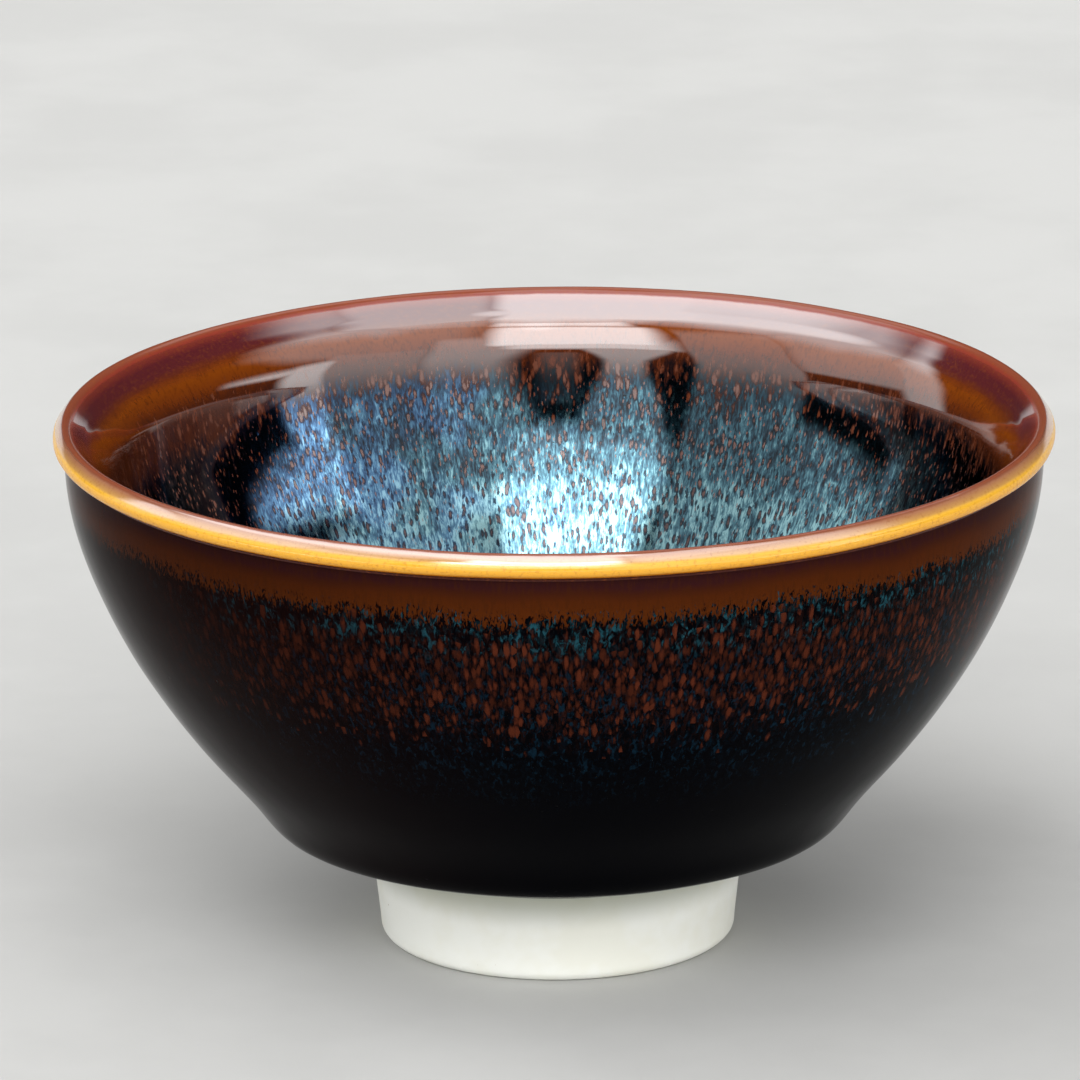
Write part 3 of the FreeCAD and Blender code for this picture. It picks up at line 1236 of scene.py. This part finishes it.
@dataclass
class OuterCoat(Turned):
    """The coat on the outside, dipped, which ends in a bead short of the foot."""

    name: str = "dipped_outer_glaze"
    node: str = "outer_glaze_coat"
    slot: Slot = Slot.DARK
    hands: tuple[Hand, ...] = (Hand(20.0, 0.10, 0.8), Hand(6.0, 0.03, 0.8))
    keys: tuple[Place, ...] = (
        (60.50, 63.19), (60.54, 62.00), (60.53, 60.49), (60.27, 57.80), (59.79, 55.15),
        (59.10, 52.53), (58.25, 49.97), (57.27, 47.45), (56.21, 44.97), (55.06, 42.53),
        (53.83, 40.12), (52.52, 37.76), (51.11, 35.46), (49.63, 33.20), (48.09, 30.98),
        (46.49, 28.81), (44.83, 26.67), (43.11, 24.59), (41.34, 22.56), (39.58, 20.51),
        (37.90, 18.39), (36.24, 16.26), (35.25, 15.42), (33.95, 14.96), (31.35, 14.21),
        (28.78, 13.38), (26.22, 12.54), (24.60, 11.84), (23.73, 11.48),
    )
    bead: tuple[Place, ...] = ((23.73, 11.48), (23.44, 11.72), (23.40, 12.02), (23.50, 12.25))
    wall: tuple[Place, ...] = (
        (23.50, 12.25), (26.86, 13.29), (30.22, 14.35), (33.58, 15.39), (36.41, 17.26),
        (40.83, 22.74), (45.35, 28.13), (49.46, 33.84), (53.12, 39.85), (56.19, 46.18),
        (58.65, 52.77), (59.50, 56.19), (59.98, 59.67), (60.00, 63.19),
    )
    bead_step: float = 0.16

    def face(self) -> list[Place]:
        """Its outer side, from the roll at the lip to the bead."""
        return smooth_run(self.keys, COAT_STEP)

    def back(self) -> list[Place]:
        """The bead and the side that lies on the clay."""
        bead, wall = smooth_run(self.bead, self.bead_step), smooth_run(self.wall, CLAY_STEP)
        return [*bead[1:], *wall[1:]]


@dataclass
class InnerCoat(Turned):
    """The coat on the inside, poured, from the roll at the lip to the middle of the well."""

    name: str = "poured_inner_glaze"
    node: str = "inner_glaze_coat"
    slot: Slot = Slot.STREAKED
    hands: tuple[Hand, ...] = (Hand(18.0, 0.10), Hand(7.0, 0.03))
    keys: tuple[Place, ...] = (
        (57.16, 63.3), (57.02, 63.12), (56.539, 62.5), (56.152, 61.9), (55.791, 61.3),
        (55.456, 60.7), (55.196, 60.2), (54.972, 59.7), (54.796, 59.2), (54.647, 58.6),
        (54.432, 57.6), (54.204, 56.6), (53.951, 55.6), (53.663, 54.6), (53.344, 53.6),
        (52.996, 52.6), (52.619, 51.6), (52.215, 50.6), (51.794, 49.6), (51.131, 48.09),
        (50.432, 46.58), (49.703, 45.07), (48.946, 43.56), (48.153, 42.05), (47.318, 40.54),
        (46.435, 39.03), (45.503, 37.52), (44.52, 36.01), (41.47, 31.78), (39.12, 28.77),
        (36.61, 25.94), (33.81, 23.37), (30.65, 21.17), (27.17, 19.44), (23.46, 18.15),
        (19.63, 17.21), (15.75, 16.56), (11.82, 16.13), (7.89, 15.89), (3.94, 15.78),
        (0.0, 15.75),
    )
    wall: tuple[Place, ...] = (
        (0.0, 15.25), (4.90, 15.29), (9.81, 15.49), (14.69, 15.92), (19.53, 16.68),
        (24.29, 17.88), (28.87, 19.63), (33.11, 22.09), (36.91, 25.18), (40.33, 28.69),
        (43.46, 32.46), (46.40, 36.39), (49.12, 40.47), (51.54, 44.74), (53.73, 49.12),
        (55.55, 53.68), (56.65, 58.45), (57.35, 61.00), (58.25, 63.07),
    )

    def face(self) -> list[Place]:
        """Its inner side, from the lip to the middle of the well."""
        return smooth_run(self.keys, COAT_STEP, to_axis=True)

    def back(self) -> list[Place]:
        """The side that lies on the clay."""
        return smooth_run(self.wall, CLAY_STEP)


@dataclass
class LipRoll(Turned):
    """The roll of glaze on the rim: a slanting face outside, a narrow crest, a flare inside."""

    name: str = "lip_roll_of_glaze"
    node: str = "lip_glaze_roll"
    slot: Slot = Slot.AMBER
    hands: tuple[Hand, ...] = (Hand(16.0, 0.12, 1.0),)
    ends: float = 1.6
    facets: int = 360
    crest: Place = (60.50, 66.70)
    outside_arcs: tuple[Span, ...] = ((46, 0.5), (31, 6.0), (0, 1.2), (-76, 1.05))
    inside_arcs: tuple[Span, ...] = ((138.0, 1.07),)
    hollow: tuple[Place, ...] = ((60.66, 63.47), (60.53, 63.32), (60.50, 63.19))
    flare: tuple[Place, ...] = (
        (59.485, 66.1), (58.970, 65.5), (58.460, 64.9), (57.960, 64.3), (57.475, 63.7),
        (57.160, 63.3), (56.935, 63.0),
    )
    rim: tuple[Place, ...] = (
        (60.00, 63.19), (60.15, 63.75), (60.75, 64.30), (61.20, 64.81), (61.30, 65.20),
        (61.07, 65.77), (60.50, 66.00), (59.93, 65.77), (59.50, 65.05), (58.25, 63.07),
    )
    face_step: float = 0.14
    rim_step: float = 0.5

    def face(self) -> list[Place]:
        """The visible run, from the neck over the crest down the flare."""
        outside = arc_keys(self.crest, 90.0, self.outside_arcs)
        inside = arc_keys(self.crest, 90.0, self.inside_arcs)
        keys = [*reversed([*outside, *self.hollow]), *inside[1:], *self.flare]
        end = self.flare[-2]
        run = smooth_run(keys, self.face_step)
        return [place for place in run if place[0] > end[0] + 0.05] + [end]

    def back(self) -> list[Place]:
        """The side that lies on the rim."""
        return smooth_run(self.rim, self.rim_step)[::-1]


@dataclass
class WellPool(Turned):
    """The pool of glaze in the well, hollow on top, with a soft edge where it meets the coat."""

    name: str = "well_pool_of_glaze"
    node: str = "well_glaze_pool"
    slot: Slot = Slot.STREAKED
    hands: tuple[Hand, ...] = (Hand(10.0, 0.06),)
    ends: float = 3.0
    keys: tuple[Place, ...] = (
        (20.0, 17.29), (18.6, 17.18), (16.0, 17.05), (10.0, 16.88), (5.0, 16.78), (0.0, 16.75),
    )
    bottom: tuple[Place, ...] = (
        (0.0, 15.75), (3.94, 15.78), (7.89, 15.89), (11.82, 16.13), (15.75, 16.56),
        (20.0, 17.29),
    )
    steps: Span = (0.5, 1.0)

    def face(self) -> list[Place]:
        """Its top, from the edge to the middle."""
        return smooth_run(self.keys, self.steps[0], to_axis=True)

    def back(self) -> list[Place]:
        """Its bottom, from the middle to just short of the edge."""
        return smooth_run(self.bottom, self.steps[1])[:-1]


def dress_body(material: Material) -> None:
    """Gives the clay body, which stays as it is in the CAD, its finish.

    Args:
        material: The porcelain.
    """
    body = frame["nodes"]["bowl_body"]
    for slot in body.material_slots:
        slot.material = material
    log.info("bowl_body: kept, in bare porcelain")


# ---------------------------------------------------------------- studio


@dataclass(frozen=True)
class Glow:
    """A soft light of the studio, by the part of the room that it fills as the bowl sees it.

    Attributes:
        name: What it is.
        azimuths: Its compass angles in degrees, 0 behind the bowl, 180 at the camera's side
            and 270 at the left.
        elevations: Its lowest and highest angle above the floor, in degrees.
        level: How bright its face is, where 1 is a white page in full light.
        soft: How far its sides and its lower and upper edge fade, in degrees.
        leans: How far each side leans over, in degrees of azimuth per degree of height.
        slopes: How far its lower and upper edge rise, in degrees per degree of azimuth.
    """

    name: str
    azimuths: Span
    elevations: Span
    level: float
    soft: Span = (2.0, 1.5)
    leans: Span = (0.0, 0.0)
    slopes: Span = (0.0, 0.0)

    def share(self, recipe: Recipe, azimuth: Value, elevation: Value) -> Value:
        """How bright it is in a direction.

        Args:
            recipe: The recipe of the sky.
            azimuth: The compass angle, in degrees.
            elevation: The angle above the floor, in degrees.

        Returns:
            Its level there, 0 beside it.
        """
        turned = recipe.math("SUBTRACT", azimuth, 180.0)
        share: Value = self.level
        edges = (
            (azimuth, elevation, self.azimuths, self.leans, self.soft[0]),
            (elevation, turned, self.elevations, self.slopes, self.soft[1]),
        )
        for angle, along, ends, slants, soft in edges:
            for end, slant, way in zip(ends, slants, (1, -1)):
                place = angle
                if slant:
                    place = recipe.math("MULTIPLY_ADD", along, -slant, angle)
                fade = recipe.fade(place, end - way * soft, end + way * soft)
                share = recipe.times(fade, share)
        return share


@dataclass
class Studio:
    """The pale floor, the soft lights, the pale backdrop and the camera.

    Attributes:
        floor_size: The floor's side, in metres.
        floor_colour: The floor's colour.
        floor_shade: The level of its darker clouds, as a share.
        horizon: The backdrop, which the bowl mirrors only low down.
        ceiling: The room above it, between the lights, which only the bowl sees.
        horizon_ends: The angles above the floor, in degrees, from which and to which the
            horizon gives way to the room.
        stand: Where the camera is, in metres.
        aim: The place that it faces before its shift.
        shift: How far it turns to the right and up from there, as a share of the distance.
        roll: How far it leans, in degrees.
        lens: Its lens, in millimetres.
        sensor: The width of its sensor, in millimetres.
        sight: How far it sees, in metres.
        glows: The soft lights.
    """

    floor_size: float = 12.0
    floor_colour: Paint = paint(200, 200, 198)
    floor_shade: float = 0.94
    horizon: Paint = paint(214, 215, 216)
    ceiling: Paint = paint(30, 30, 31)
    horizon_ends: Span = (2.5, 6.0)
    stand: tuple[float, float, float] = (0.0, -1.2935, 0.4329)
    aim: tuple[float, float, float] = (0.0, 0.0, 0.031)
    shift: Span = (-0.00137, 0.01379)
    roll: float = -0.482
    lens: float = 362.65
    sensor: float = 36.0
    sight: float = 100.0
    glows: tuple[Glow, ...] = (
        Glow("key", (161.0, 212.0), (36.5, 53.0), 6.4, (5.0, 2.0)),
        Glow("brow", (165.0, 214.0), (30.0, 42.0), 4.6, (7.0, 3.0)),
        Glow("lens", (176.0, 186.0), (6.0, 22.0), 0.4, (3.0, 3.0)),
        Glow("beside_lens_right", (143.0, 165.0), (2.0, 44.0), 1.9, (5.0, 3.0), (0, 0.28)),
        Glow("beside_lens_left", (196.0, 201.0), (2.0, 34.0), 2.3, (2.0, 2.0), (-0.28, 0.4)),
        Glow("right_middle", (112.0, 146.0), (2.0, 38.0), 1.35, (4.0, 3.0)),
        Glow("right_wall", (104.0, 117.0), (2.0, 52.0), 3.2, (3.0, 3.0), (0, 0), (0, 0.3)),
        Glow("right_shoulder", (80.0, 117.0), (20.0, 51.0), 2.9, (3.0, 3.0), (0, 0), (0, 0.3)),
        Glow("right_brow", (88.0, 158.0), (33.0, 56.0), 1.15, (12.0, 3.0)),
        Glow("left_wall", (218.0, 250.0), (2.0, 50.0), 1.05, (1.5, 5.0)),
        Glow("left_far", (249.0, 292.0), (16.0, 50.0), 1.25, (6.0, 3.0)),
        Glow("left_tip", (285.0, 301.0), (2.0, 34.0), 1.6, (3.0, 3.0)),
        Glow("veil_right", (98.0, 158.0), (53.5, 72.0), 1.5, (9.0, 2.5)),
        Glow("veil_glare", (159.0, 207.0), (54.0, 59.0), 4.2, (4.0, 1.2)),
        Glow("veil_middle", (156.0, 301.0), (58.0, 74.0), 2.6, (7.0, 3.0)),
        Glow("veil_left", (208.0, 301.0), (68.0, 76.0), 2.5, (4.0, 6.0), (0, 0), (-0.25, 0)),
        Glow("overhead", (140.0, 220.0), (66.0, 95.0), 2.6, (6.0, 3.0)),
        Glow("behind_right", (-10.0, 50.0), (36.0, 95.0), 1.1, (8.0, 3.0)),
        Glow("behind_left", (310.0, 370.0), (36.0, 95.0), 1.1, (8.0, 3.0)),
        Glow("low_front", (98.0, 262.0), (-1.0, 4.5), 3.4, (8.0, 1.0)),
        Glow("low_right", (98.0, 140.0), (-1.0, 4.5), 5.6, (12.0, 1.0)),
        Glow("low_left", (220.0, 262.0), (-1.0, 4.5), 5.6, (12.0, 1.0)),
    )

    def make(self) -> None:
        """The whole studio."""
        self.make_floor()
        self.make_sky()
        self.make_camera()

    def make_floor(self) -> None:
        """A wide pale floor."""
        bpy.ops.object.select_all(action="DESELECT")
        bpy.ops.mesh.primitive_plane_add(size=self.floor_size, location=(0, 0, 0))
        floor = bpy.context.active_object
        floor.name = "pale_floor"
        material, recipe = start_finish("pale_floor")
        place = recipe.place()
        cloud = recipe.noise(place, 0.02, 4.0, 0.6)
        grain = recipe.noise(place, 1.1, 2.0, 0.6)
        darker = (*(channel * self.floor_shade for channel in self.floor_colour[:3]), 1.0)
        colour = recipe.blend(recipe.fade(cloud, 0.35, 0.65), self.floor_colour, darker)
        close_finish(recipe, recipe.times(grain, 0.02), {
            "Base Color": colour, "Roughness": 0.85, "Specular IOR Level": 0.2,
        })
        floor.data.materials.append(material)

    def make_sky(self) -> None:
        """The room: soft lights over a pale horizon, and a plain backdrop for the camera."""
        world = bpy.data.worlds.new("studio")
        bpy.context.scene.world = world
        world.use_nodes = True
        world.node_tree.nodes.clear()
        recipe = Recipe(world.node_tree)
        way = recipe.step("TexCoord").outputs["Generated"]
        parts = recipe.step("SeparateXYZ", {0: way}).outputs
        elevation = recipe.math("DEGREES", recipe.math("ARCSINE", parts["Z"]))
        back = recipe.vector("MULTIPLY", way, (-1, -1, 1))
        parts = recipe.step("SeparateXYZ", {0: back}).outputs
        azimuth = recipe.math("DEGREES", recipe.math("ARCTAN2", parts["X"], parts["Y"]))
        azimuth = recipe.math("ADD", azimuth, 180.0)
        light: Value = 0.0
        for glow in self.glows:
            light = recipe.math("MAXIMUM", glow.share(recipe, azimuth, elevation), light)
            log.info("light: %s", glow.name)
        above = recipe.fade(elevation, *self.horizon_ends)
        room = recipe.blend(above, self.horizon, self.ceiling)
        light = recipe.step("CombineColor", {0: light, 1: light, 2: light}).outputs[0]
        room = recipe.vector("MAXIMUM", room, light)
        seen = recipe.step("LightPath").outputs["Is Camera Ray"]
        colour = recipe.blend(seen, room, self.horizon)
        background = recipe.step("Background", {"Color": colour, "Strength": 1.0})
        output = recipe.step("OutputWorld")
        recipe.feed(output.inputs["Surface"], background.outputs[0])

    def frame_of(self, aim: Vector) -> tuple[Vector, Vector]:
        """The ways to the right and up, as seen along a level line of sight.

        Args:
            aim: The line of sight.

        Returns:
            Both, at right angles to it.
        """
        right = aim.cross(Vector((0, 0, 1))).normalized()
        return right, right.cross(aim)

    def make_camera(self) -> None:
        """The camera of the photograph, with a long lens from a little above the rim."""
        stand = Vector(self.stand)
        aim = (Vector(self.aim) - stand).normalized()
        right, up = self.frame_of(aim)
        aim = (aim + self.shift[0] * right + self.shift[1] * up).normalized()
        right, up = self.frame_of(aim)
        roll = math.radians(self.roll)
        level = math.cos(roll) * right + math.sin(roll) * up
        upright = -math.sin(roll) * right + math.cos(roll) * up
        data = bpy.data.cameras.new("camera")
        data.sensor_width = self.sensor
        data.lens = self.lens
        data.clip_end = self.sight
        camera = bpy.data.objects.new("camera", data)
        camera.matrix_world = Matrix((
            (level.x, upright.x, -aim.x, stand.x),
            (level.y, upright.y, -aim.y, stand.y),
            (level.z, upright.z, -aim.z, stand.z),
            (0, 0, 0, 1),
        ))
        bpy.context.scene.collection.objects.link(camera)
        bpy.context.scene.camera = camera


def main() -> None:
    """Builds the bowl round the CAD frame and sets up the studio."""
    logging.basicConfig(level=logging.INFO, format="%(name)s: %(message)s")
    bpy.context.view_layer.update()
    scene = bpy.context.scene
    scene.view_settings.view_transform = "Standard"
    Effects().make()
    porcelain = BarePorcelain().make()
    dress_body(porcelain)
    Foot().make(porcelain)
    OuterCoat().make(DarkGlaze().make())
    InnerCoat().make(StreakedGlaze().make())
    LipRoll().make(AmberGlaze().make())
    WellPool().make(PooledGlaze().make())
    Studio().make()


if __name__ == "__main__":
    main()
